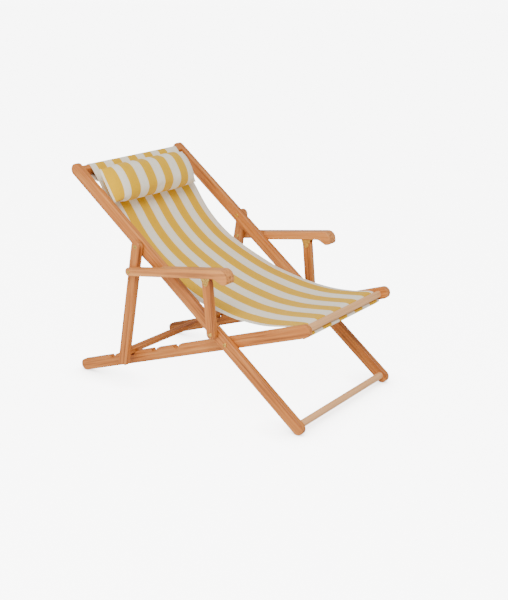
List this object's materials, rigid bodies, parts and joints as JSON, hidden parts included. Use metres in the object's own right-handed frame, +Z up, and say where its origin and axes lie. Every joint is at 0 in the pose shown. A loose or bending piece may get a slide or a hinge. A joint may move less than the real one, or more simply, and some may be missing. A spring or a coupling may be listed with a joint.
{
  "type": "folding deck chair",
  "caption": "Folding wooden deck chair with a striped fabric sling, flat armrests, a notched seat frame and a head pillow.",
  "frame": {"origin": "on the floor under the middle of the chair's length and width", "axes": "+Z up, the sitter faces -Y, +X is the sitter's left"},
  "size_m": [0.6756, 1.0122, 0.7869],
  "materials": {
    "wood": "oiled hardwood",
    "brass": "satin",
    "cloth": "woven canvas in yellow and off-white stripes"
  },
  "bodies": {
    "back_frame": {"back_rail_left": "wood", "back_rail_right": "wood", "head_bar": "wood", "foot_dowel": "wood", "main_bolts": "brass", "main_nuts": "brass", "main_washers": "brass", "prop_bolts": "brass", "prop_washers": "brass", "post_bolts": "brass", "post_washers": "brass", "sling": "cloth", "pillow": "cloth"},
    "seat_frame": {"seat_rail_left": "wood", "seat_rail_right": "wood", "front_bar": "wood", "hem_dowel": "wood"},
    "prop_frame": {"prop_leg_left": "wood", "prop_leg_right": "wood", "prop_bar": "wood", "leg_pins": "brass"},
    "post_left": {"arm_post_left": "wood"},
    "post_right": {"arm_post_right": "wood"},
    "arm_left": {"armrest_left": "wood", "arm_bracket_left": "brass", "bracket_screws_left": "brass", "bracket_pin_left": "brass", "arm_pin_left": "brass"},
    "arm_right": {"armrest_right": "wood", "arm_bracket_right": "brass", "bracket_screws_right": "brass", "bracket_pin_right": "brass", "arm_pin_right": "brass"}
  },
  "joints": [
    {"name": "seat_fold", "type": "hinge", "parent": "back_frame", "child": "seat_frame", "pos_m": [0, -0.19188, 0.24951], "axis": [1, 0, 0], "range_deg": [0, 40], "deforming": ["sling"]},
    {"name": "prop_swing", "type": "hinge", "parent": "back_frame", "child": "prop_frame", "pos_m": [0, 0.16986, 0.53529], "axis": [1, 0, 0], "range_deg": [0, 108]},
    {"name": "post_swing_left", "type": "hinge", "parent": "back_frame", "child": "post_left", "pos_m": [0, -0.14872, 0.2836], "axis": [1, 0, 0], "range_deg": [-43.2, 0]},
    {"name": "post_swing_right", "type": "hinge", "parent": "back_frame", "child": "post_right", "pos_m": [0, -0.14872, 0.2836], "axis": [1, 0, 0], "range_deg": [-43.2, 0]},
    {"name": "arm_swing_left", "type": "hinge", "parent": "post_left", "child": "arm_left", "pos_m": [0, -0.13285, 0.458], "axis": [1, 0, 0], "range_deg": [0, 78.7]},
    {"name": "arm_swing_right", "type": "hinge", "parent": "post_right", "child": "arm_right", "pos_m": [0, -0.13285, 0.458], "axis": [1, 0, 0], "range_deg": [0, 78.7]}
  ],
  "couplings": [
    {"joint": "prop_swing", "follows": "seat_fold", "ratio": 2.7},
    {"joint": "post_swing_left", "follows": "seat_fold", "ratio": -1.08},
    {"joint": "post_swing_right", "follows": "seat_fold", "ratio": -1.08},
    {"joint": "arm_swing_left", "follows": "seat_fold", "ratio": 1.9675},
    {"joint": "arm_swing_right", "follows": "seat_fold", "ratio": 1.9675}
  ]
}
